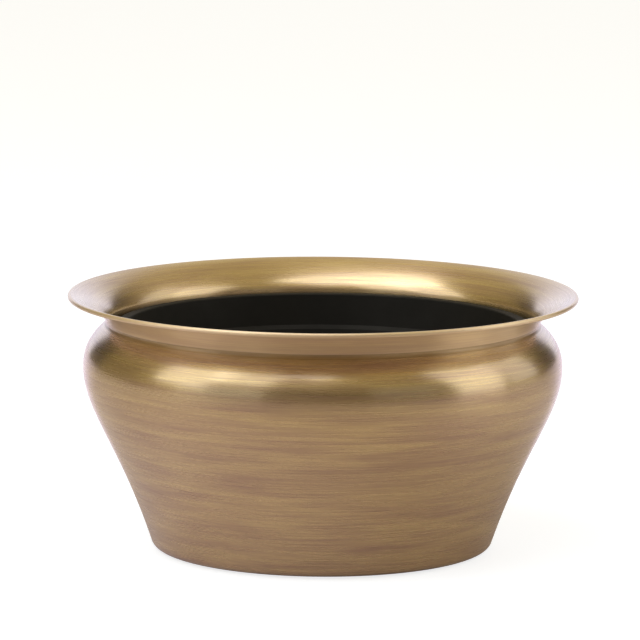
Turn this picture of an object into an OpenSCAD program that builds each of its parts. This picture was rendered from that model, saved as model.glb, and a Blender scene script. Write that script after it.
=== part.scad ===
/* [Overall] */
// Diameter over the rolled rim
rim_d = 406; // [396:1:420]
// Height of the rim above the floor
pot_h = 204.4; // [200:0.1:210]
// Thickness of the spun brass sheet
sheet_t = 1; // [0.8:0.1:1.2]

/* [Bowl] */
// Radius of the flat base, up to where the corner starts to turn
base_r = 129.4; // [126:0.1:132]
// Outside radius of the corner between base and side
corner_r = 7.3; // [5:0.1:9]
// Lean of the side just above the base, from the vertical
side_lean = 18.4; // [16:0.1:20]
// Diameter of the belly at its widest
belly_d = 381.7; // [376:0.1:386]
// Height of the widest ring of the belly
belly_z = 146.5; // [142:0.1:150]
// Rise of the dished middle of the base
dish_rise = 3; // [1:0.5:4]
// Radius at which the base starts to rise into its dish
dish_r = 96; // [90:1:98]

/* [Neck and rim] */
// Diameter at the neck crease
neck_d = 344; // [342:1:346]
// Height of the neck crease
neck_z = 181; // [180.5:0.1:182]
// Depth of the collar's skirt inside the bowl's neck
skirt_h = 5; // [3:1:6]
// Slope of the flare where it reaches the rolled rim
rim_slope = 14; // [10:1:18]
// Diameter of the wire inside the rolled rim
wire_d = 1.6; // [1.2:0.1:2]

/* [Feet] */
// Diameter of a felt pad
pad_d = 20; // [16:1:24]
// Thickness of a felt pad
pad_t = 1.5; // [1.5:0.1:2]
// Radius of the ring that the pads lie on
pad_ring_r = 112; // [109:1:114]

/* [Liner] */
// Diameter over the liner's lip
lip_d = 332; // [330:1:335]
// Wall thickness of the liner
liner_t = 2; // [1.8:0.1:2.5]
// Diameter across the liner's floor
liner_floor_d = 236; // [228:1:240]
// Height of the liner's moulded feet
liner_foot_h = 6; // [5:1:8]
// Number of standing ribs on the liner's floor
liner_ribs = 8; // [4:1:12]

/* [Hidden] */
PAD_NAMES = [for (i = [1:4]) str("foot_pad_", i)];
$fn = 96;

// Colours
brass = [0.72, 0.58, 0.36];
braze = [0.66, 0.52, 0.31];
wire_brass = [0.78, 0.66, 0.42];
felt = [0.16, 0.13, 0.11];
black_plastic = [0.05, 0.05, 0.05];

// Cubic Bezier curve through four points, its direction, and its unit normal to the right of travel
function bez(c, t) =
    pow(1 - t, 3) * c[0] + 3 * t * pow(1 - t, 2) * c[1] + 3 * t * t * (1 - t) * c[2] + pow(t, 3) * c[3];
function bez_dir(c, t) =
    pow(1 - t, 2) * (c[1] - c[0]) + 2 * t * (1 - t) * (c[2] - c[1]) + t * t * (c[3] - c[2]);
function bez_normal(c, t) = let (d = bez_dir(c, t)) [d[1], -d[0]] / norm(d);
// Points along a curve from t0 to t1 in n steps, moved out along the normal
function along(c, t0, t1, n, out = 0) = [
    for (i = [0:n])
        let (t = t0 + (t1 - t0) * i / n) bez(c, t) + out * bez_normal(c, t)
];
function arc(centre, r, a0, a1, n) = [
    for (i = [0:n])
        let (a = a0 + (a1 - a0) * i / n) centre + r * [cos(a), sin(a)]
];
function reversed(p) = [for (i = [len(p) - 1:-1:0]) p[i]];
function polar(r, a) = r * [cos(a), sin(a)];

// Steps along each stretch of the outline
side_n = 36;
shoulder_n = 24;
flare_n = 20;
curl_n = 30;
dish_n = 10;

// Bowl: side from the base corner to the belly, then shoulder up to the neck crease
belly = [belly_d / 2, belly_z];
corner_c = [base_r, pad_t + corner_r];
side_foot = corner_c + polar(corner_r, -side_lean);
side_foot_pull = 82.3;
side_belly_pull = 34.2;
side_curve = [
    side_foot,
    side_foot + side_foot_pull * [sin(side_lean), cos(side_lean)],
    belly - [0, side_belly_pull],
    belly
];
neck = [neck_d / 2, neck_z];
shoulder_belly_pull = 12;
shoulder_neck_pull = 19;
neck_turn = 142;
shoulder_curve = [
    belly,
    belly + [0, shoulder_belly_pull],
    neck - polar(shoulder_neck_pull, neck_turn),
    neck
];

// Collar: flare from the neck to the wire roll at the rim
wire_gap = 0.05;
roll_inner = wire_d / 2 + wire_gap;
roll_outer = roll_inner + sheet_t;
roll_c = [rim_d / 2 - roll_outer, pot_h - roll_outer];
flare_rise = 80;
flare_neck_pull = 8;
flare_rim_pull = 15;
flare_end = roll_c + polar(roll_inner, 90 + rim_slope);
flare_curve = [
    neck,
    neck + polar(flare_neck_pull, flare_rise),
    flare_end - polar(flare_rim_pull, rim_slope),
    flare_end
];
// The roll stops short of the underside of the flare
roll_start = 84 + rim_slope;
roll_end = rim_slope - 198;

// Steps of the shoulder and of the flare that the braze fillet covers
fillet_shoulder_steps = 1;
fillet_flare_steps = 2;

// The dished middle of the base, from the axis out to the flat ring
dish_inner_r = dish_r - 22;
function dish_z(r) =
    let (u = max(0, min(1, (r - dish_inner_r) / (dish_r - dish_inner_r))))
    pad_t + dish_rise * (1 + cos(180 * u)) / 2;
function dish_points() = concat([[0, pad_t + dish_rise]], [
    for (i = [0:dish_n])
        let (r = dish_inner_r + (dish_r - dish_inner_r) * i / dish_n) [r, dish_z(r)]
]);

module bowl_body() {
    outer = concat(
        dish_points(),
        arc(corner_c, corner_r, -90, -side_lean, 8),
        along(side_curve, 1 / side_n, 1, side_n - 1),
        along(shoulder_curve, 1 / shoulder_n, 1, shoulder_n - 1)
    );
    inner = concat(
        [for (p = dish_points()) p + [0, sheet_t]],
        arc(corner_c, corner_r - sheet_t, -90, -side_lean, 8),
        along(side_curve, 1 / side_n, 1, side_n - 1, -sheet_t),
        along(shoulder_curve, 1 / shoulder_n, 1 - 1 / shoulder_n, shoulder_n - 2, -sheet_t),
        [neck - [0, sheet_t / sin(neck_turn - 90)]]
    );
    color(brass)
        rotate_extrude() polygon(concat(outer, reversed(inner)));
}

module flared_collar() {
    under = concat(
        [neck - [0, skirt_h]],
        along(flare_curve, 0, 1, flare_n),
        arc(roll_c, roll_inner, roll_start, roll_end, curl_n)
    );
    upper = concat(
        [neck - [sheet_t, skirt_h], neck - [sheet_t, 0]],
        along(flare_curve, 2 / flare_n, 1, flare_n - 2, -sheet_t),
        arc(roll_c, roll_outer, roll_start, roll_end, curl_n)
    );
    color(brass)
        rotate_extrude() polygon(concat(under, reversed(upper)));
}

// Braze filler run into the crease and dressed to a small fillet
module neck_braze() {
    t0 = 1 - fillet_shoulder_steps / shoulder_n;
    t1 = fillet_flare_steps / flare_n;
    foot = bez(shoulder_curve, t0);
    head = bez(flare_curve, t1);
    foot_dir = bez_dir(shoulder_curve, t0);
    head_dir = bez_dir(flare_curve, t1);
    pull = 0.4 * norm(head - foot);
    fillet_curve = [
        head,
        head - pull * head_dir / norm(head_dir),
        foot + pull * foot_dir / norm(foot_dir),
        foot
    ];
    fillet_n = 8;
    color(braze)
        rotate_extrude() polygon(concat(
            along(shoulder_curve, t0, 1, fillet_shoulder_steps),
            along(flare_curve, 1 / flare_n, t1, fillet_flare_steps - 1),
            along(fillet_curve, 1 / fillet_n, 1 - 1 / fillet_n, fillet_n - 2)
        ));
}

module rim_wire() {
    color(wire_brass)
        rotate_extrude() translate(roll_c) circle(d = wire_d, $fn = 48);
}

module foot_pad(i) {
    edge = 0.3;
    color(felt)
        rotate([0, 0, 45 + 90 * (i - 1)]) translate([pad_ring_r, 0, 0])
            rotate_extrude() polygon([
                [0, 0], [pad_d / 2 - edge, 0], [pad_d / 2, edge], [pad_d / 2, pad_t], [0, pad_t]
            ]);
}

// Liner: a tapered tub on moulded feet, with a turned-down lip just below the neck
liner_z = pad_t + sheet_t + 0.3;
liner_top = neck_z - 1;
liner_floor_z = liner_z + liner_foot_h;
liner_floor_r = liner_floor_d / 2;
liner_corner_r = 9;
lip_r = lip_d / 2;
lip_w = 6;
lip_drop = 8;
ledge_z = liner_top - 26;
ledge_w = 3;
liner_draft = atan((lip_r - lip_w - ledge_w - liner_floor_r) / (liner_top - liner_floor_z));
function liner_wall_r(z) = liner_floor_r + (z - liner_floor_z) * tan(liner_draft);

module liner() {
    corner = [liner_floor_r - liner_corner_r, liner_floor_z + liner_corner_r];
    lip_in = liner_wall_r(liner_top) + ledge_w;
    outside = concat(
        [[0, liner_floor_z]],
        arc(corner, liner_corner_r, -90, -liner_draft, 8),
        [
            [liner_wall_r(ledge_z - ledge_w), ledge_z - ledge_w],
            [liner_wall_r(ledge_z) + ledge_w, ledge_z],
            [lip_in, liner_top - liner_t],
            [lip_r - liner_t, liner_top - liner_t],
            [lip_r - liner_t, liner_top - lip_drop],
            [lip_r, liner_top - lip_drop]
        ],
        arc([lip_r - liner_t, liner_top - liner_t], liner_t, 0, 90, 6)
    );
    inside = concat(
        arc([lip_in - liner_t, liner_top - 1.5], 1.5, 90, 180, 4),
        [
            [liner_wall_r(ledge_z) + ledge_w - liner_t, ledge_z + liner_t / 2],
            [liner_wall_r(ledge_z - ledge_w) - liner_t, ledge_z - ledge_w + liner_t / 2]
        ],
        reversed(arc(corner, liner_corner_r - liner_t, -90, -liner_draft, 8)),
        [[0, liner_floor_z + liner_t]]
    );
    foot_in = 96;
    foot_w = 8;
    foot_span = 34;
    feet = 6;
    rib_w = 3;
    rib_h = 3;
    rib_from = 24;
    rib_to = 96;
    color(black_plastic) {
        rotate_extrude() polygon(concat(outside, inside));
        for (i = [1:feet]) rotate([0, 0, (i - 0.5) * 360 / feet - foot_span / 2])
            rotate_extrude(angle = foot_span)
                translate([foot_in, liner_z]) square([foot_w, liner_foot_h + 1]);
        for (i = [1:liner_ribs]) rotate([0, 0, i * 360 / liner_ribs])
            translate([rib_from, -rib_w / 2, liner_floor_z + liner_t - 1])
                cube([rib_to - rib_from, rib_w, rib_h + 1]);
    }
}

bowl_body();
flared_collar();
neck_braze();
rim_wire();
for (i = [1:4]) foot_pad(i);
liner();
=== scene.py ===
import math

import bmesh
import bpy
from mathutils import Matrix, Vector


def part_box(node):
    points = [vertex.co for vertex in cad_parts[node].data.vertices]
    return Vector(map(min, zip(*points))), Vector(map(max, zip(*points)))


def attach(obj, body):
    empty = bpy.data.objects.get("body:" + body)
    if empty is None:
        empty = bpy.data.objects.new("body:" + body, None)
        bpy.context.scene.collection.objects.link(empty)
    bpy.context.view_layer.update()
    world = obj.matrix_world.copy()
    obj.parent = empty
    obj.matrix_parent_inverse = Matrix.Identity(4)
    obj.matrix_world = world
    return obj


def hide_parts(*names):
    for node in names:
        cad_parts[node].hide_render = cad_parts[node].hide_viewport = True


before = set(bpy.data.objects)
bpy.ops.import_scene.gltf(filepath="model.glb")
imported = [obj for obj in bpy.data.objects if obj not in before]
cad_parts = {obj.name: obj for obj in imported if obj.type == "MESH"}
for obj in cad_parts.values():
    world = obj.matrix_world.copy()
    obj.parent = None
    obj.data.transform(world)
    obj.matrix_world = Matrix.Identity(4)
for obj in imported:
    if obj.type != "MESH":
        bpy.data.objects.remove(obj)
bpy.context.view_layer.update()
millimetre = 0.001
scene = bpy.context.scene
print("frame loaded:", ", ".join(sorted(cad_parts)))


# small helpers

def addNode(tree, kind, settings=None, links=None):
    # settings are node properties or socket values, links are socket name to the output that feeds it
    node = tree.nodes.new(kind)
    for name, value in (settings or {}).items():
        if isinstance(name, int) or name in node.inputs.keys():
            node.inputs[name].default_value = value
        else:
            setattr(node, name, value)
    for name, source in (links or {}).items():
        tree.links.new(source, node.inputs[name])
    return node


def linearColour(hexCode):
    parts = [int(hexCode[i:i + 2], 16) / 255 for i in (1, 3, 5)]
    return tuple(p / 12.92 if p <= 0.04045 else ((p + 0.055) / 1.055) ** 2.4 for p in parts) + (1.0,)


def polar(radius, degrees):
    angle = math.radians(degrees)
    return Vector((radius * math.cos(angle), radius * math.sin(angle)))


def bezierPoints(start, pullStart, pullEnd, end, count):
    points = []
    for i in range(count + 1):
        t = i / count
        s = 1 - t
        point = start * s ** 3 + pullStart * (3 * t * s * s)
        points.append(point + pullEnd * (3 * t * t * s) + end * t ** 3)
    return points


def arcPoints(centre, radius, startAngle, endAngle, count):
    sweep = endAngle - startAngle
    return [centre + polar(radius, startAngle + sweep * i / count) for i in range(count + 1)]


def joinRuns(*runs):
    # one polyline from several, without the doubled point where two runs meet
    points = []
    for run in runs:
        points += [p for p in run if not points or (p - points[-1]).length > 1e-5]
    return points


def offsetRun(points, distance):
    # each point moved square to the line, to the right of travel when distance is positive
    moved = []
    for i, point in enumerate(points):
        along = (points[min(i + 1, len(points) - 1)] - points[max(i - 1, 0)]).normalized()
        moved.append(point + Vector((along.y, -along.x)) * distance)
    return moved


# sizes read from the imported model, in millimetres

def nodeSpan(node):
    low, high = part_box(node)
    return {
        "radius": (high.x - low.x) / 2 / millimetre,
        "bottom": low.z / millimetre,
        "top": high.z / millimetre,
    }


bowlSpan = nodeSpan("bowl_body")
collarSpan = nodeSpan("flared_collar")
wireSpan = nodeSpan("rim_wire")
padSpan = nodeSpan("foot_pad_1")

sheet = {"thickness": 1.0, "wireGap": 0.05}
neckRadius = 172.0        # of the crease where bowl and collar meet
neck = Vector((neckRadius, bowlSpan["top"]))


# materials

def newMaterial(name):
    material = bpy.data.materials.new(name)
    material.use_nodes = True
    tree = material.node_tree
    tree.nodes.clear()
    output = addNode(tree, "ShaderNodeOutputMaterial")
    surface = addNode(tree, "ShaderNodeBsdfPrincipled")
    tree.links.new(surface.outputs["BSDF"], output.inputs["Surface"])
    return material, tree, surface


def turnedCoordinates(tree, perRadian, perMillimetre):
    # coordinates that run round the pot slowly and across it quickly, so a noise becomes lathe streaks;
    # the radius goes in the fourth dimension, so that a flat base and an upright side both get them
    place = addNode(tree, "ShaderNodeTexCoord").outputs["Object"]
    flat = addNode(tree, "ShaderNodeVectorMath", {"operation": "MULTIPLY", 1: (1, 1, 0)}, {0: place})
    radius = addNode(tree, "ShaderNodeVectorMath", {"operation": "LENGTH"}, {0: flat.outputs[0]})
    around = addNode(tree, "ShaderNodeVectorMath", {"operation": "NORMALIZE"}, {0: flat.outputs[0]})
    aroundScaled = addNode(
        tree, "ShaderNodeVectorMath", {"operation": "SCALE", "Scale": perRadian},
        {0: around.outputs[0]},
    )
    height = addNode(
        tree, "ShaderNodeVectorMath", {"operation": "MULTIPLY", 1: (0, 0, perMillimetre / millimetre)},
        {0: place},
    )
    vector = addNode(
        tree, "ShaderNodeVectorMath", {"operation": "ADD"},
        {0: aroundScaled.outputs[0], 1: height.outputs[0]},
    )
    across = addNode(
        tree, "ShaderNodeMath", {"operation": "MULTIPLY", 1: perMillimetre / millimetre},
        {0: radius.outputs["Value"]},
    )
    return vector.outputs[0], across.outputs[0]


brassLook = {
    "clean": "#DAC495",       # brushed yellow brass
    "antiqued": "#B99D86",    # where the antiquing wash has stayed
    "metallic": 0.86,         # the wash is a thin oxide film that scatters a little light of its own
    "roughness": 0.29,
    "roughnessSpread": 0.12,
    "streakHeight": 1.1,      # brush lines, mm; real ones are about 0.2, drawn coarser so that they show
    "streakLength": 70.0,     # mm round the belly
    "streakRange": (0.3, 0.7),
    "streakContrast": 0.34,
    "bandHeight": 8.0,       # blotches of the wash, mm
    "bandLength": 95.0,
    "bandRange": (0.34, 0.68),
    "bandShare": (0.05, 0.85),    # how far the wash goes from clean to antiqued
    "reliefDepth": 0.03,      # mm
    "anisotropy": 0.85,       # brushing spreads a reflection across its lines
    "anisotropyTurn": 0.25,
    "coat": 1.0,              # satin lacquer
    "coatRoughness": 0.18,
    "coatIor": 1.6,
}


def brushedBrass(name, look):
    # antiqued yellow brass, brushed on the lathe and lacquered: fine lines round the pot spread a reflection
    # up and down but leave it sharp sideways, and the wash leaves soft browner bands
    material, tree, surface = newMaterial(name)
    bellyRadius = bowlSpan["radius"]
    streakVector, streakW = turnedCoordinates(
        tree, bellyRadius / look["streakLength"], 1 / look["streakHeight"]
    )
    streaks = addNode(
        tree, "ShaderNodeTexNoise",
        {"noise_dimensions": "4D", "Scale": 1.0, "Detail": 3.0, "Roughness": 0.6},
        {"Vector": streakVector, "W": streakW},
    )
    bandVector, bandW = turnedCoordinates(tree, bellyRadius / look["bandLength"], 1 / look["bandHeight"])
    bands = addNode(
        tree, "ShaderNodeTexNoise",
        {"noise_dimensions": "4D", "Scale": 1.0, "Detail": 4.0, "Roughness": 0.55},
        {"Vector": bandVector, "W": bandW},
    )
    bandLow, bandHigh = look["bandRange"]
    leastWash, mostWash = look["bandShare"]
    bandShare = addNode(
        tree, "ShaderNodeMapRange",
        {"From Min": bandLow, "From Max": bandHigh, "To Min": leastWash, "To Max": mostWash},
        {"Value": bands.outputs[0]},
    )
    streakLow, streakHigh = look["streakRange"]
    streakShare = addNode(
        tree, "ShaderNodeMapRange",
        {"From Min": streakLow, "From Max": streakHigh,
         "To Min": -look["streakContrast"], "To Max": look["streakContrast"]},
        {"Value": streaks.outputs[0]},
    )
    wash = addNode(
        tree, "ShaderNodeMath", {"operation": "ADD", "use_clamp": True},
        {0: bandShare.outputs[0], 1: streakShare.outputs[0]},
    )
    colour = addNode(
        tree, "ShaderNodeMix",
        {"data_type": "RGBA", 6: linearColour(look["clean"]), 7: linearColour(look["antiqued"])},
        {0: wash.outputs[0]},
    )
    tree.links.new(colour.outputs[2], surface.inputs["Base Color"])
    halfSpread = look["roughnessSpread"] / 2
    rough = addNode(
        tree, "ShaderNodeMapRange",
        {"From Min": streakLow, "From Max": streakHigh,
         "To Min": look["roughness"] - halfSpread, "To Max": look["roughness"] + halfSpread},
        {"Value": streaks.outputs[0]},
    )
    tree.links.new(rough.outputs[0], surface.inputs["Roughness"])
    relief = addNode(
        tree, "ShaderNodeBump", {"Strength": 1.0, "Distance": look["reliefDepth"] * millimetre},
        {"Height": streaks.outputs[0]},
    )
    tree.links.new(relief.outputs[0], surface.inputs["Normal"])
    tangent = addNode(tree, "ShaderNodeTangent", {"direction_type": "RADIAL", "axis": "Z"})
    tree.links.new(tangent.outputs[0], surface.inputs["Tangent"])
    surface.inputs["Metallic"].default_value = look["metallic"]
    surface.inputs["Anisotropic"].default_value = look["anisotropy"]
    surface.inputs["Anisotropic Rotation"].default_value = look["anisotropyTurn"]
    surface.inputs["Coat Weight"].default_value = look["coat"]
    surface.inputs["Coat Roughness"].default_value = look["coatRoughness"]
    surface.inputs["Coat IOR"].default_value = look["coatIor"]
    return material


# inside the bowl: darker, duller brass, partly an unpolished inside and partly painted shade for the dim
# inside of the pot
shadedInsideLook = dict(brassLook, clean="#B09468", antiqued="#8A6E4C", roughness=0.42, streakHeight=2.4)
# the flare's underside and its rolled rim: painted light, a much paler brass that stands in for the bright
# floor's light bouncing up under the flare; also rougher and less metallic
paintedBounceUndersideLook = dict(brassLook, clean="#FAE6C0", antiqued="#E6CDB0", roughness=0.5, metallic=0.7)
brazeLook = dict(paintedBounceUndersideLook, clean="#CDB385", antiqued="#A98D68")
wireLook = {"colour": "#C9A765", "roughness": 0.3, "roughnessSpread": 0.08, "speck": 2.0}
feltLook = {
    "light": "#3A332C",
    "dark": "#15120F",
    "fibre": 0.4,             # mm
    "reliefDepth": 0.15,      # mm
    "reliefStrength": 0.8,
    "roughness": 0.95,
    "sheen": 0.4,
    "sheenRoughness": 0.5,
}
linerLook = {
    # near black: black plastic, and painted shade for the dark inside of the pot
    "colour": "#070706",
    "specular": 0.3,
    "roughness": 0.66,
    "smoother": 0.06,         # roughness taken off where handling has polished it
    "dustier": 0.1,           # and added where dust lies
    "dustScale": 30.0,
    "grain": 0.35,            # mm
    "grainDepth": 0.02,       # mm
    "grainStrength": 0.6,
}


def drawnWire(name, look):
    # bright brass wire as it comes from the die: even, with faint lines along it
    material, tree, surface = newMaterial(name)
    place = addNode(tree, "ShaderNodeTexCoord").outputs["Object"]
    specks = addNode(
        tree, "ShaderNodeTexNoise", {"Scale": 1 / (look["speck"] * millimetre), "Detail": 2.0},
        {"Vector": place},
    )
    spread = look["roughnessSpread"]
    rough = addNode(
        tree, "ShaderNodeMapRange",
        {"To Min": look["roughness"] - spread, "To Max": look["roughness"] + spread},
        {"Value": specks.outputs[0]},
    )
    tree.links.new(rough.outputs[0], surface.inputs["Roughness"])
    surface.inputs["Base Color"].default_value = linearColour(look["colour"])
    surface.inputs["Metallic"].default_value = 1.0
    return material


def pressedFelt(name, look):
    # dark wool felt: no gloss, a fuzzy rim of light, and fibres that run every way
    material, tree, surface = newMaterial(name)
    place = addNode(tree, "ShaderNodeTexCoord").outputs["Object"]
    fibres = addNode(
        tree, "ShaderNodeTexNoise",
        {"Scale": 1 / (look["fibre"] * millimetre), "Detail": 5.0, "Roughness": 0.7, "Distortion": 1.5},
        {"Vector": place},
    )
    colour = addNode(
        tree, "ShaderNodeMix",
        {"data_type": "RGBA", 6: linearColour(look["dark"]), 7: linearColour(look["light"])},
        {0: fibres.outputs[0]},
    )
    tree.links.new(colour.outputs[2], surface.inputs["Base Color"])
    relief = addNode(
        tree, "ShaderNodeBump",
        {"Strength": look["reliefStrength"], "Distance": look["reliefDepth"] * millimetre},
        {"Height": fibres.outputs[0]},
    )
    tree.links.new(relief.outputs[0], surface.inputs["Normal"])
    surface.inputs["Roughness"].default_value = look["roughness"]
    surface.inputs["Sheen Weight"].default_value = look["sheen"]
    surface.inputs["Sheen Roughness"].default_value = look["sheenRoughness"]
    return material


def mouldedPlastic(name, look):
    # black polypropylene from a spark-eroded mould: matt, with a fine even grain; the liner's near black is
    # also painted shade for the dark inside of the pot
    material, tree, surface = newMaterial(name)
    place = addNode(tree, "ShaderNodeTexCoord").outputs["Object"]
    grain = addNode(
        tree, "ShaderNodeTexNoise", {"Scale": 1 / (look["grain"] * millimetre), "Detail": 2.0},
        {"Vector": place},
    )
    dust = addNode(
        tree, "ShaderNodeTexNoise", {"Scale": look["dustScale"], "Detail": 4.0, "Roughness": 0.6},
        {"Vector": place},
    )
    rough = addNode(
        tree, "ShaderNodeMapRange",
        {"From Min": 0.3, "From Max": 0.7,
         "To Min": look["roughness"] - look["smoother"], "To Max": look["roughness"] + look["dustier"]},
        {"Value": dust.outputs[0]},
    )
    relief = addNode(
        tree, "ShaderNodeBump",
        {"Strength": look["grainStrength"], "Distance": look["grainDepth"] * millimetre},
        {"Height": grain.outputs[0]},
    )
    tree.links.new(rough.outputs[0], surface.inputs["Roughness"])
    tree.links.new(relief.outputs[0], surface.inputs["Normal"])
    surface.inputs["Base Color"].default_value = linearColour(look["colour"])
    surface.inputs["Specular IOR Level"].default_value = look["specular"]
    return material


brass = brushedBrass("antiquedBrushedBrass", brassLook)
shadedInsideBrass = brushedBrass("spunBrassInsideShaded", shadedInsideLook)
paintedBounceUndersideBrass = brushedBrass("spunBrassUndersidePaintedBounce", paintedBounceUndersideLook)
brazeMetal = brushedBrass("dressedBraze", brazeLook)
wireBrass = drawnWire("drawnBrassWire", wireLook)
felt = pressedFelt("woolFelt", feltLook)
blackPlastic = mouldedPlastic("mouldedPolypropylene", linerLook)
print("materials made:", len(bpy.data.materials))


# geometry node trees

def newTree(name, inputs):
    tree = bpy.data.node_groups.new(name, "GeometryNodeTree")
    tree.interface.new_socket("Geometry", in_out="INPUT", socket_type="NodeSocketGeometry")
    for socketName, socketType in inputs:
        tree.interface.new_socket(socketName, in_out="INPUT", socket_type="NodeSocket" + socketType)
    tree.interface.new_socket("Geometry", in_out="OUTPUT", socket_type="NodeSocketGeometry")
    return tree, addNode(tree, "NodeGroupInput").outputs, addNode(tree, "NodeGroupOutput")


def latheTree():
    # turns a closed outline, given as vertices in order in the XZ plane, round the Z axis
    tree, given, result = newTree("latheOutline", [
        ("Segments", "Int"), ("Outer Rows", "Int"), ("Mark Depth", "Float"), ("Mark Pitch", "Float"),
        ("Seed", "Float"), ("Weld Distance", "Float"), ("Finish", "Material"),
        ("Inside Finish", "Material"),
    ])
    rows = addNode(
        tree, "GeometryNodeAttributeDomainSize", {}, {"Geometry": given["Geometry"]},
    ).outputs["Point Count"]
    columnCount = addNode(tree, "ShaderNodeMath", {"operation": "ADD", 1: 1}, {0: given["Segments"]})
    rowCount = addNode(tree, "ShaderNodeMath", {"operation": "ADD", 1: 1}, {0: rows})
    grid = addNode(tree, "GeometryNodeMeshGrid", {}, {
        "Size X": given["Segments"], "Size Y": rows,
        "Vertices X": columnCount.outputs[0], "Vertices Y": rowCount.outputs[0],
    })
    place = addNode(tree, "GeometryNodeInputPosition")
    parts = addNode(tree, "ShaderNodeSeparateXYZ", {}, {0: place.outputs[0]})
    halfColumns = addNode(
        tree, "ShaderNodeMath", {"operation": "MULTIPLY", 1: 0.5}, {0: given["Segments"]},
    )
    halfRows = addNode(tree, "ShaderNodeMath", {"operation": "MULTIPLY", 1: 0.5}, {0: rows})
    column = addNode(
        tree, "ShaderNodeMath", {"operation": "ADD"},
        {0: parts.outputs["X"], 1: halfColumns.outputs[0]},
    )
    row = addNode(
        tree, "ShaderNodeMath", {"operation": "ADD"}, {0: parts.outputs["Y"], 1: halfRows.outputs[0]},
    )

    # outer faces take the finish, the rest the inside finish
    inside = addNode(
        tree, "ShaderNodeMath", {"operation": "GREATER_THAN"},
        {0: row.outputs[0], 1: given["Outer Rows"]},
    )
    finished = addNode(
        tree, "GeometryNodeSetMaterial", {},
        {"Geometry": grid.outputs["Mesh"], "Material": given["Finish"]},
    )
    lined = addNode(tree, "GeometryNodeSetMaterial", {}, {
        "Geometry": finished.outputs[0], "Selection": inside.outputs[0],
        "Material": given["Inside Finish"],
    })

    nearestRow = addNode(tree, "ShaderNodeMath", {"operation": "ROUND"}, {0: row.outputs[0]})
    wrapped = addNode(tree, "ShaderNodeMath", {"operation": "MODULO"}, {0: nearestRow.outputs[0], 1: rows})
    sample = addNode(tree, "GeometryNodeSampleIndex", {"data_type": "FLOAT_VECTOR", "domain": "POINT"})
    tree.links.new(given["Geometry"], sample.inputs["Geometry"])
    tree.links.new(place.outputs[0], sample.inputs["Value"])
    tree.links.new(wrapped.outputs[0], sample.inputs["Index"])
    outline = addNode(tree, "ShaderNodeSeparateXYZ", {}, {0: sample.outputs["Value"]})

    turn = addNode(
        tree, "ShaderNodeMath", {"operation": "DIVIDE"}, {0: column.outputs[0], 1: given["Segments"]},
    )
    angle = addNode(
        tree, "ShaderNodeMath", {"operation": "MULTIPLY", 1: 2 * math.pi}, {0: turn.outputs[0]},
    )
    cosine = addNode(tree, "ShaderNodeMath", {"operation": "COSINE"}, {0: angle.outputs[0]})
    sine = addNode(tree, "ShaderNodeMath", {"operation": "SINE"}, {0: angle.outputs[0]})

    # shallow waves that the spinning roller left, a little uneven round the pot
    waveHeight = addNode(
        tree, "ShaderNodeMath", {"operation": "DIVIDE"},
        {0: outline.outputs["Z"], 1: given["Mark Pitch"]},
    )
    wavePlace = addNode(
        tree, "ShaderNodeCombineXYZ", {},
        {"X": cosine.outputs[0], "Y": sine.outputs[0], "Z": waveHeight.outputs[0]},
    )
    wave = addNode(
        tree, "ShaderNodeTexNoise", {"noise_dimensions": "4D", "Scale": 1.0, "Detail": 1.0},
        {"Vector": wavePlace.outputs[0], "W": given["Seed"]},
    )
    # mostly inwards, so that the widest ring keeps its size
    centred = addNode(tree, "ShaderNodeMath", {"operation": "SUBTRACT", 1: 0.75}, {0: wave.outputs[0]})
    marks = addNode(
        tree, "ShaderNodeMath", {"operation": "MULTIPLY"},
        {0: centred.outputs[0], 1: given["Mark Depth"]},
    )
    # no marks within 1 mm of the axis, so that the pole stays one point
    offAxis = addNode(
        tree, "ShaderNodeMath", {"operation": "GREATER_THAN", 1: millimetre}, {0: outline.outputs["X"]},
    )
    keptMarks = addNode(
        tree, "ShaderNodeMath", {"operation": "MULTIPLY"}, {0: marks.outputs[0], 1: offAxis.outputs[0]},
    )
    radius = addNode(
        tree, "ShaderNodeMath", {"operation": "ADD"},
        {0: outline.outputs["X"], 1: keptMarks.outputs[0]},
    )
    x = addNode(
        tree, "ShaderNodeMath", {"operation": "MULTIPLY"},
        {0: radius.outputs[0], 1: cosine.outputs[0]},
    )
    y = addNode(
        tree, "ShaderNodeMath", {"operation": "MULTIPLY"}, {0: radius.outputs[0], 1: sine.outputs[0]},
    )
    turned = addNode(
        tree, "ShaderNodeCombineXYZ", {},
        {"X": x.outputs[0], "Y": y.outputs[0], "Z": outline.outputs["Z"]},
    )
    placed = addNode(
        tree, "GeometryNodeSetPosition", {},
        {"Geometry": lined.outputs[0], "Position": turned.outputs[0]},
    )
    welded = addNode(
        tree, "GeometryNodeMergeByDistance", {},
        {"Geometry": placed.outputs[0], "Distance": given["Weld Distance"]},
    )
    smooth = addNode(tree, "GeometryNodeSetShadeSmooth", {}, {"Geometry": welded.outputs[0]})
    realized = addNode(tree, "GeometryNodeRealizeInstances", {}, {"Geometry": smooth.outputs[0]})
    tree.links.new(realized.outputs[0], result.inputs["Geometry"])
    return tree


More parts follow.
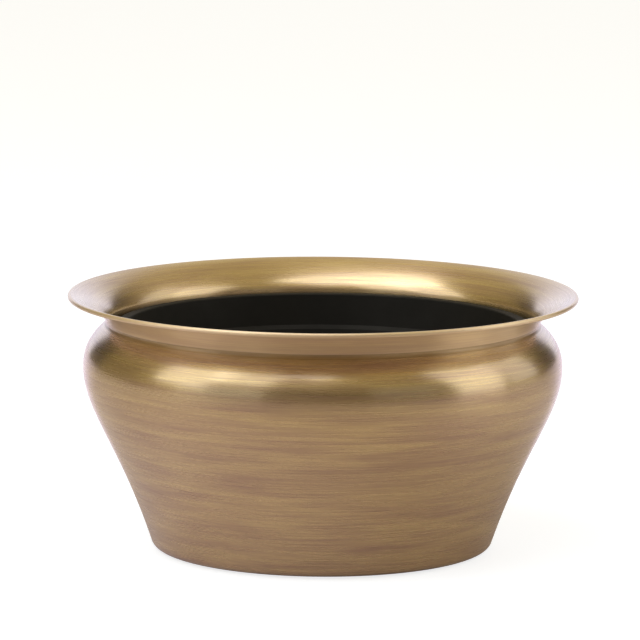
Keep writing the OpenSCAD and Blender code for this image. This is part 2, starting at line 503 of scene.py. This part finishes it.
def ringTree():
    # sets copies of a piece, made at the ring's +X side, evenly round the Z axis
    tree, given, result = newTree("ringOfPieces", [
        ("Count", "Int"), ("First Angle", "Float"), ("Finish", "Material"),
    ])
    points = addNode(tree, "GeometryNodePoints", {}, {"Count": given["Count"]})
    index = addNode(tree, "GeometryNodeInputIndex")
    share = addNode(
        tree, "ShaderNodeMath", {"operation": "DIVIDE"}, {0: index.outputs[0], 1: given["Count"]},
    )
    turn = addNode(
        tree, "ShaderNodeMath", {"operation": "MULTIPLY", 1: 2 * math.pi}, {0: share.outputs[0]},
    )
    angle = addNode(
        tree, "ShaderNodeMath", {"operation": "ADD"}, {0: turn.outputs[0], 1: given["First Angle"]},
    )
    rotation = addNode(tree, "ShaderNodeCombineXYZ", {}, {"Z": angle.outputs[0]})
    copies = addNode(tree, "GeometryNodeInstanceOnPoints", {}, {
        "Points": points.outputs[0], "Instance": given["Geometry"], "Rotation": rotation.outputs[0],
    })
    realized = addNode(tree, "GeometryNodeRealizeInstances", {}, {"Geometry": copies.outputs[0]})
    finished = addNode(
        tree, "GeometryNodeSetMaterial", {},
        {"Geometry": realized.outputs[0], "Material": given["Finish"]},
    )
    tree.links.new(finished.outputs[0], result.inputs["Geometry"])
    return tree


def runTree(piece, tree, values):
    # evaluates the tree on the piece and keeps the plain mesh
    modifier = piece.modifiers.new(tree.name, "NODES")
    modifier.node_group = tree
    for item in tree.interface.items_tree:
        if item.item_type == "SOCKET" and item.in_out == "INPUT" and item.name in values:
            modifier[item.identifier] = values[item.name]
    depsgraph = bpy.context.evaluated_depsgraph_get()
    finished = bpy.data.meshes.new_from_object(piece.evaluated_get(depsgraph), depsgraph=depsgraph)
    piece.modifiers.remove(modifier)
    oldMesh = piece.data
    piece.data = finished
    bpy.data.meshes.remove(oldMesh)
    piece.data.name = piece.name
    return piece


def newPiece(name, vertices, edges=(), faces=()):
    mesh = bpy.data.meshes.new(name)
    mesh.from_pydata(vertices, edges, faces)
    piece = bpy.data.objects.new(name, mesh)
    scene.collection.objects.link(piece)
    return piece


def outwardAndSmooth(piece, sharpAngle):
    # faces of a closed shell point outwards, and edges over sharpAngle stay crisp
    shell = bmesh.new()
    shell.from_mesh(piece.data)
    if shell.calc_volume(signed=True) < 0:
        bmesh.ops.reverse_faces(shell, faces=shell.faces)
    shell.to_mesh(piece.data)
    shell.free()
    piece.data.shade_smooth()
    piece.data.set_sharp_from_angle(angle=math.radians(sharpAngle))
    return piece


lathe = latheTree()
ring = ringTree()
latheDefaults = {
    "Segments": 240,
    "Outer Rows": 100000,     # past the end of any outline, so one finish all over
    "Mark Depth": 0.0,
    "Mark Pitch": 10 * millimetre,
    "Seed": 3.0,
    "Weld Distance": 0.004 * millimetre,
}


def turnPiece(name, outline, finish, insideFinish=None, sharpAngle=38, **values):
    piece = newPiece(name, [(p.x * millimetre, 0, p.y * millimetre) for p in outline])
    runTree(
        piece, lathe,
        dict(latheDefaults, Finish=finish, **{"Inside Finish": insideFinish or finish}, **values),
    )
    return outwardAndSmooth(piece, sharpAngle)


# bowl: spun shell from the dished base to the neck

bowl = {
    "cornerRadius": 7.3,
    "baseRadius": 129.4,      # where the corner starts to turn
    "sideLean": 18.4,         # from the vertical, just above the base
    "sideFootPull": 82.3,
    "sideBellyPull": 34.2,
    "bellyHeight": 146.5,
    "shoulderBellyPull": 12.0,
    "shoulderNeckPull": 19.0,
    "neckTurn": 142.0,        # direction of the shoulder where it meets the neck
    "dishRise": 3.0,
    "dishRadius": 96.0,
    "dishSlopeWidth": 22.0,
    "dishRings": 24,
    "slopeRings": 12,
    "cornerSteps": 12,
    "sideSteps": 84,
    "shoulderSteps": 40,
    "markDepth": 0.09 * millimetre,
    "markPitch": 11 * millimetre,
}
baseUnder = bowlSpan["bottom"]
cornerCentre = Vector((bowl["baseRadius"], baseUnder + bowl["cornerRadius"]))
sideFoot = cornerCentre + polar(bowl["cornerRadius"], -bowl["sideLean"])
belly = Vector((bowlSpan["radius"], bowl["bellyHeight"]))


def dishRun():
    # the base from its level middle down a soft slope to the flat ring
    points = []
    reach = bowl["dishRadius"] - bowl["dishSlopeWidth"]
    for i in range(bowl["dishRings"]):
        points.append(Vector((reach * i / bowl["dishRings"], baseUnder + bowl["dishRise"])))
    for i in range(bowl["slopeRings"] + 1):
        u = i / bowl["slopeRings"]
        rise = bowl["dishRise"] * (1 + math.cos(math.pi * u)) / 2
        points.append(Vector((reach + bowl["dishSlopeWidth"] * u, baseUnder + rise)))
    return points


def shoulderRun(count):
    return bezierPoints(
        belly, belly + Vector((0, bowl["shoulderBellyPull"])),
        neck - polar(bowl["shoulderNeckPull"], bowl["neckTurn"]), neck, count,
    )


bowlOuter = joinRuns(
    dishRun(),
    arcPoints(cornerCentre, bowl["cornerRadius"], -90, -bowl["sideLean"], bowl["cornerSteps"]),
    bezierPoints(
        sideFoot, sideFoot + bowl["sideFootPull"] * polar(1, 90 - bowl["sideLean"]),
        belly - Vector((0, bowl["sideBellyPull"])), belly, bowl["sideSteps"],
    ),
    shoulderRun(bowl["shoulderSteps"]),
)
bowlInner = offsetRun(bowlOuter, -sheet["thickness"])
bowlInner[0] = Vector((0, bowlOuter[0].y + sheet["thickness"]))
neckCut = math.sin(math.radians(bowl["neckTurn"] - 90))   # the wall is cut upright at the neck
bowlInner[-1] = Vector((neck.x, neck.y - sheet["thickness"] / neckCut))
bowlShell = turnPiece(
    "bowlShell", bowlOuter + bowlInner[::-1], brass, shadedInsideBrass,
    **{"Outer Rows": len(bowlOuter), "Mark Depth": bowl["markDepth"], "Mark Pitch": bowl["markPitch"]},
)
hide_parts("bowl_body")
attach(bowlShell, "planter")
print("bowl shell:", len(bowlShell.data.polygons), "faces")


# collar: skirt, flare and the rim rolled over its wire

collar = {
    "skirtHeight": neck.y - collarSpan["bottom"],
    "flareRise": 80.0,        # slope of the flare as it leaves the neck
    "flareNeckPull": 8.0,
    "flareRimPull": 15.0,
    "rimSlope": 14.0,
    "rollStart": 84.0,        # from the rim's slope, where the roll leaves the flare
    "rollEnd": -198.0,        # just short of the flare's underside
    "flareSteps": 56,
    "rollInnerSteps": 24,
    "rollOuterSteps": 36,
    "skirtTurn": 1.0,         # the upper side starts this far above the crease
}
rollInner = (wireSpan["top"] - wireSpan["bottom"]) / 2 + sheet["wireGap"]
rollOuter = rollInner + sheet["thickness"]
rollCentre = Vector((collarSpan["radius"] - rollOuter, collarSpan["top"] - rollOuter))
flareEnd = rollCentre + polar(rollInner, 90 + collar["rimSlope"])


def flareRun(count):
    return bezierPoints(
        neck, neck + polar(collar["flareNeckPull"], collar["flareRise"]),
        flareEnd - polar(collar["flareRimPull"], collar["rimSlope"]), flareEnd, count,
    )


def rollRun(radius, count):
    slope = collar["rimSlope"]
    return arcPoints(rollCentre, radius, slope + collar["rollStart"], slope + collar["rollEnd"], count)


flareUnder = flareRun(collar["flareSteps"])
flareUpper = offsetRun(flareUnder, -sheet["thickness"])
skirtFoot = neck - Vector((0, collar["skirtHeight"]))
skirtInner = Vector((neck.x - sheet["thickness"], neck.y))
flareUpper = [p for p in flareUpper if p.y > neck.y + collar["skirtTurn"]]
collarOutline = joinRuns(
    [skirtFoot], flareUnder,
    rollRun(rollInner, collar["rollInnerSteps"]), rollRun(rollOuter, collar["rollOuterSteps"])[::-1],
    flareUpper[::-1], [skirtInner, skirtInner - Vector((0, collar["skirtHeight"]))],
)
upperRows = len(flareUpper) + 3   # with the skirt's inner side
# the underside and roll take the pale brass with painted bounce light, the upper side of the flare takes the
# plain brass
collarPiece = turnPiece(
    "flaredCollar", collarOutline, paintedBounceUndersideBrass, brass,
    **{"Outer Rows": len(collarOutline) - upperRows},
)
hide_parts("flared_collar")
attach(collarPiece, "planter")
print("collar:", len(collarPiece.data.polygons), "faces")


# braze fillet in the neck crease, dressed smooth

braze = {
    "shoulderShare": 1 / 24,  # how much of each curve the fillet covers
    "flareShare": 2 / 20,
    "pull": 0.4,
    "shoulderSteps": 240,
    "flareSteps": 200,
    "filletSteps": 14,
}
shoulderLine = shoulderRun(braze["shoulderSteps"])
flareLine = flareRun(braze["flareSteps"])
footIndex = round(braze["shoulderSteps"] * (1 - braze["shoulderShare"]))
headIndex = round(braze["flareSteps"] * braze["flareShare"])
footPoint = shoulderLine[footIndex]
headPoint = flareLine[headIndex]
filletPull = braze["pull"] * (headPoint - footPoint).length
footDirection = (shoulderLine[footIndex] - shoulderLine[footIndex - 1]).normalized()
headDirection = (flareLine[headIndex + 1] - flareLine[headIndex]).normalized()
brazeOutline = joinRuns(
    [footPoint, neck, headPoint],
    bezierPoints(
        headPoint, headPoint - headDirection * filletPull,
        footPoint + footDirection * filletPull, footPoint, braze["filletSteps"],
    )[:-1],
)
brazePiece = turnPiece("neckBraze", brazeOutline, brazeMetal)
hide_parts("neck_braze")
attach(brazePiece, "planter")

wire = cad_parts["rim_wire"]
wire.data.materials.clear()
wire.data.materials.append(wireBrass)
print("braze and rim wire finished")


# felt pads

pads = {
    "count": 4,
    "firstAngle": math.radians(45),
    "edge": 0.35,             # mm, rounding of the cut edge
    "segments": 48,
    "sharpAngle": 50,
}


def padMesh():
    low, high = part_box("foot_pad_1")
    centre = (low + high) / 2 / millimetre
    ringRadius = math.hypot(centre.x, centre.y)
    padRadius = padSpan["radius"]
    top = padSpan["top"]
    edge = pads["edge"]
    section = [(0, 0), (padRadius - edge, 0), (padRadius - edge * 0.3, edge * 0.3), (padRadius, edge)]
    section += [(padRadius, top - edge / 2), (padRadius - edge / 2, top), (0, top)]
    shell = bmesh.new()
    rings = []
    for radius, height in section:
        count = pads["segments"] if radius > 0 else 1
        rings.append([
            shell.verts.new((
                (ringRadius + radius * math.cos(2 * math.pi * i / count)) * millimetre,
                radius * math.sin(2 * math.pi * i / count) * millimetre,
                height * millimetre,
            )) for i in range(count)
        ])
    for lower, upper in zip(rings, rings[1:]):
        for i in range(pads["segments"]):
            j = (i + 1) % pads["segments"]
            corners = [lower[i % len(lower)], lower[j % len(lower)]]
            corners += [upper[j % len(upper)], upper[i % len(upper)]]
            shell.faces.new(list(dict.fromkeys(corners)))
    mesh = bpy.data.meshes.new("feltPads")
    shell.to_mesh(mesh)
    shell.free()
    return mesh


padPiece = bpy.data.objects.new("feltPads", padMesh())
scene.collection.objects.link(padPiece)
runTree(padPiece, ring, {"Count": pads["count"], "First Angle": pads["firstAngle"], "Finish": felt})
outwardAndSmooth(padPiece, pads["sharpAngle"])
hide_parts(*["foot_pad_%d" % (i + 1) for i in range(pads["count"])])
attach(padPiece, "planter")
print("felt pads:", len(padPiece.data.polygons), "faces")


# liner

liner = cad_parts["liner"]
liner.data.materials.clear()
liner.data.materials.append(blackPlastic)


# floor, light and camera

floorLook = {
    "size": 14.0,
    # the board as the brass sees it: darker towards the camera, as painted shade from the dim room behind
    # the camera
    "boardShadedFront": "#C1B5B2",  # pale board under the pot, a little darker towards the camera
    "boardBack": "#CFC6CC",
    "surround": "#54493A",    # studio floor in front of the board, as the brass mirrors it
    "boardReach": (1.3, 1.5),
    "sideReach": 0.35,        # the board runs on further to the sides, by the inverse of this
    "glowMiddle": (-0.14, -0.16, 0),   # light pooled at the foot of the pot on the key light's side
    "glowReach": (0.05, 0.32),
    "glow": 0.1,
    "boardBrightens": (-1.05, -0.25),  # from front to back, by direction from the pot, -1 to 1
    "backFrom": (0.6, 1.0),
    "backGlow": 0.75,         # the lit backdrop's light on the board behind the pot
    "backTint": "#D6CFF4",    # its daylight is cooler than the lamps
    "seen": "#AAB3C4",        # to the camera the whole floor is one plain white, with the pot's shadow
    "seenGlow": 0.78,
    "roughness": 0.9,
    "specular": 0.1,
}


def paleFloor():
    half = floorLook["size"] / 2
    corners = [(-half, -half, 0), (half, -half, 0), (half, half, 0), (-half, half, 0)]
    floor = newPiece("floor", corners, (), [(0, 1, 2, 3)])
    material, tree, surface = newMaterial("whiteBoard")
    place = addNode(tree, "ShaderNodeTexCoord").outputs["Object"]
    ahead = addNode(tree, "ShaderNodeVectorMath", {"operation": "MINIMUM", 1: (100, 0, 100)}, {0: place})
    squeezed = addNode(
        tree, "ShaderNodeVectorMath", {"operation": "MULTIPLY", 1: (floorLook["sideReach"], 1, 0)},
        {0: ahead.outputs[0]},
    )
    reach = addNode(tree, "ShaderNodeVectorMath", {"operation": "LENGTH"}, {0: squeezed.outputs[0]})
    direction = addNode(tree, "ShaderNodeVectorMath", {"operation": "NORMALIZE"}, {0: place})
    towardBack = addNode(tree, "ShaderNodeSeparateXYZ", {}, {0: direction.outputs[0]}).outputs["Y"]
    # painted shade: the board darkens towards the camera, by direction from the pot
    darkest, lightest = floorLook["boardBrightens"]
    share = addNode(
        tree, "ShaderNodeMapRange",
        {"interpolation_type": "SMOOTHSTEP", "From Min": darkest, "From Max": lightest},
        {"Value": towardBack},
    )
    board = addNode(
        tree, "ShaderNodeMix",
        {"data_type": "RGBA",
         6: linearColour(floorLook["boardShadedFront"]), 7: linearColour(floorLook["boardBack"])},
        {0: share.outputs[0]},
    )
    near, far = floorLook["boardReach"]
    past = addNode(
        tree, "ShaderNodeMapRange",
        {"interpolation_type": "SMOOTHSTEP", "From Min": near, "From Max": far},
        {"Value": reach.outputs["Value"]},
    )
    mirrored = addNode(
        tree, "ShaderNodeMix",
        {"data_type": "RGBA", 7: linearColour(floorLook["surround"])},
        {0: past.outputs[0], 6: board.outputs[2]},
    )
    seen = addNode(tree, "ShaderNodeLightPath").outputs["Is Camera Ray"]
    colour = addNode(
        tree, "ShaderNodeMix", {"data_type": "RGBA", 7: linearColour(floorLook["seen"])},
        {0: seen, 6: mirrored.outputs[2]},
    )
    fromPool = addNode(
        tree, "ShaderNodeVectorMath", {"operation": "DISTANCE", 1: floorLook["glowMiddle"]}, {0: place}
    )
    innerReach, outerReach = floorLook["glowReach"]
    pool = addNode(
        tree, "ShaderNodeMapRange",
        {"interpolation_type": "SMOOTHSTEP", "From Min": innerReach, "From Max": outerReach,
         "To Min": floorLook["glow"], "To Max": 0.0},
        {"Value": fromPool.outputs["Value"]},
    )
    backLow, backHigh = floorLook["backFrom"]
    behind = addNode(
        tree, "ShaderNodeMapRange",
        {"interpolation_type": "SMOOTHSTEP", "From Min": backLow, "From Max": backHigh,
         "To Max": floorLook["backGlow"]},
        {"Value": towardBack},
    )
    bothGlows = addNode(
        tree, "ShaderNodeMath", {"operation": "ADD"}, {0: pool.outputs[0], 1: behind.outputs[0]},
    )
    glow = addNode(
        tree, "ShaderNodeMix", {"data_type": "FLOAT", 3: floorLook["seenGlow"]},
        {0: seen, 2: bothGlows.outputs[0]},
    )
    tree.links.new(colour.outputs[2], surface.inputs["Base Color"])
    tree.links.new(glow.outputs[0], surface.inputs["Emission Strength"])
    glowColour = addNode(
        tree, "ShaderNodeMix",
        {"data_type": "RGBA", 6: linearColour(floorLook["backTint"]), 7: (1, 1, 1, 1)}, {0: seen},
    )
    tree.links.new(glowColour.outputs[2], surface.inputs["Emission Color"])
    surface.inputs["Roughness"].default_value = floorLook["roughness"]
    surface.inputs["Specular IOR Level"].default_value = floorLook["specular"]
    floor.data.materials.append(material)


paleFloor()

roomLook = {
    "front": "#322712",       # dim room behind the camera
    "side": "#A3935F",
    "flank": "#7A6A40",       # dimmer wall past the side windows
    "flag": "#2C2416",        # black flags each side of the backdrop
    "backdrop": "#E6E3F0",
    "wallStops": [            # which wall lies in which direction, 0 behind the camera to 1 behind the pot
        (0.0, "front"), (0.2, "front"), (0.42, "side"), (0.54, "side"), (0.62, "flank"), (0.83, "flank"),
        (0.86, "flag"), (0.94, "flag"), (0.96, "backdrop"),
    ],
    "backdropFrom": (0.945, 0.965),
    "backdropStrength": 1.2,  # lit brighter than white, as a cut-out backdrop is
    "overhead": "#B8A676",
    "overheadFrom": (0.2, 0.75),
    "seen": "#FBF9F5",        # plain backdrop beyond the floor's edge
}


def studioRoom():
    world = bpy.data.worlds.new("studio")
    scene.world = world
    world.use_nodes = True
    tree = world.node_tree
    tree.nodes.clear()
    output = addNode(tree, "ShaderNodeOutputWorld")
    background = addNode(tree, "ShaderNodeBackground", {"Strength": 1.0})
    tree.links.new(background.outputs[0], output.inputs["Surface"])
    direction = addNode(tree, "ShaderNodeTexCoord").outputs["Generated"]
    flat = addNode(tree, "ShaderNodeVectorMath", {"operation": "MULTIPLY", 1: (1, 1, 0)}, {0: direction})
    level = addNode(tree, "ShaderNodeVectorMath", {"operation": "NORMALIZE"}, {0: flat.outputs[0]})
    towardBack = addNode(tree, "ShaderNodeSeparateXYZ", {}, {0: level.outputs[0]}).outputs["Y"]
    share = addNode(tree, "ShaderNodeMapRange", {"From Min": -1.0, "From Max": 1.0}, {"Value": towardBack})
    walls = addNode(tree, "ShaderNodeValToRGB", {}, {0: share.outputs[0]})
    stops = roomLook["wallStops"]
    ramp = walls.color_ramp
    while len(ramp.elements) < len(stops):
        ramp.elements.new(0.5)
    for element, (position, key) in zip(ramp.elements, stops):
        element.position = position
        element.color = linearColour(roomLook[key])
    up = addNode(tree, "ShaderNodeSeparateXYZ", {}, {0: direction}).outputs["Z"]
    low, high = roomLook["overheadFrom"]
    overhead = addNode(
        tree, "ShaderNodeMapRange",
        {"interpolation_type": "SMOOTHSTEP", "From Min": low, "From Max": high}, {"Value": up},
    )
    room = addNode(
        tree, "ShaderNodeMix", {"data_type": "RGBA", 7: linearColour(roomLook["overhead"])},
        {0: overhead.outputs[0], 6: walls.outputs[0]},
    )
    seen = addNode(tree, "ShaderNodeLightPath").outputs["Is Camera Ray"]
    colour = addNode(
        tree, "ShaderNodeMix", {"data_type": "RGBA", 7: linearColour(roomLook["seen"])},
        {0: seen, 6: room.outputs[2]},
    )
    nearEdge, farEdge = roomLook["backdropFrom"]
    bright = addNode(
        tree, "ShaderNodeMapRange",
        {"From Min": nearEdge, "From Max": farEdge, "To Min": 1.0, "To Max": roomLook["backdropStrength"]},
        {"Value": share.outputs[0]},
    )
    strength = addNode(
        tree, "ShaderNodeMix", {"data_type": "FLOAT", 3: 1.0}, {0: seen, 2: bright.outputs[0]},
    )
    tree.links.new(colour.outputs[2], background.inputs["Color"])
    tree.links.new(strength.outputs[0], background.inputs["Strength"])


studioRoom()

softboxes = {
    # name: azimuth from the camera side (+ to the right), elevation, width, height in degrees, radiance
    "leftKey": (-72, 38, 30, 52, 1.2),
    "overheadLeft": (-46, 74, 56, 34, 1.9),
    "leftFill": (-43, 48, 28, 40, 1.05),
    "leftLow": (-50, 9, 44, 18, 0.42),
    "rightKey": (80, 24, 30, 52, 1.1),
    "rightLow": (38, 14, 30, 24, 0.18),
    "rightRear": (110, 24, 24, 44, 0.75),
}
potMiddle = Vector((0, 0, 0.12))


def addSoftbox(name, azimuth, elevation, width, height, radiance, distance=2.6):
    light = bpy.data.lights.new(name, "AREA")
    light.shape = "RECTANGLE"
    light.size = 2 * distance * math.tan(math.radians(width / 2))
    light.size_y = 2 * distance * math.tan(math.radians(height / 2))
    light.energy = radiance * math.pi * light.size * light.size_y
    turn, rise = math.radians(azimuth), math.radians(elevation)
    away = Vector((math.sin(turn) * math.cos(rise), -math.cos(turn) * math.cos(rise), math.sin(rise)))
    lamp = bpy.data.objects.new(name, light)
    lamp.location = potMiddle + away * distance
    lamp.rotation_euler = away.to_track_quat("Z", "Y").to_euler()
    lamp.visible_camera = False
    scene.collection.objects.link(lamp)


for boxName, (azimuth, elevation, width, height, radiance) in softboxes.items():
    addSoftbox(boxName, azimuth, elevation, width, height, radiance)

cameraSetup = {
    "lens": 304.4,
    "sensorWidth": 36,
    "distance": 4.3205,
    "elevation": 10.114,
    "roll": 0.354,
    "centre": (0, 0, 0.1),
    "aim": (-0.0024, 0.0819),  # how far across and above the centre it looks
    "clipEnd": 100,
}


def addCamera():
    rise = math.radians(cameraSetup["elevation"])
    back = Vector((0, -math.cos(rise), math.sin(rise)))
    upward = Vector((0, math.sin(rise), math.cos(rise)))
    centre = Vector(cameraSetup["centre"])
    across, lift = cameraSetup["aim"]
    camera = bpy.data.objects.new("camera", bpy.data.cameras.new("camera"))
    camera.data.lens = cameraSetup["lens"]
    camera.data.sensor_width = cameraSetup["sensorWidth"]
    camera.data.clip_end = cameraSetup["clipEnd"]
    location = centre + back * cameraSetup["distance"]
    aim = centre + Vector((across, 0, 0)) + upward * lift
    facing = (location - aim).to_track_quat("Z", "Y").to_matrix().to_4x4()
    roll = Matrix.Rotation(math.radians(cameraSetup["roll"]), 4, "Z")
    camera.matrix_world = Matrix.Translation(location) @ facing @ roll
    scene.collection.objects.link(camera)
    scene.camera = camera


addCamera()
scene.view_settings.view_transform = "Standard"
print("floor, light and camera set")
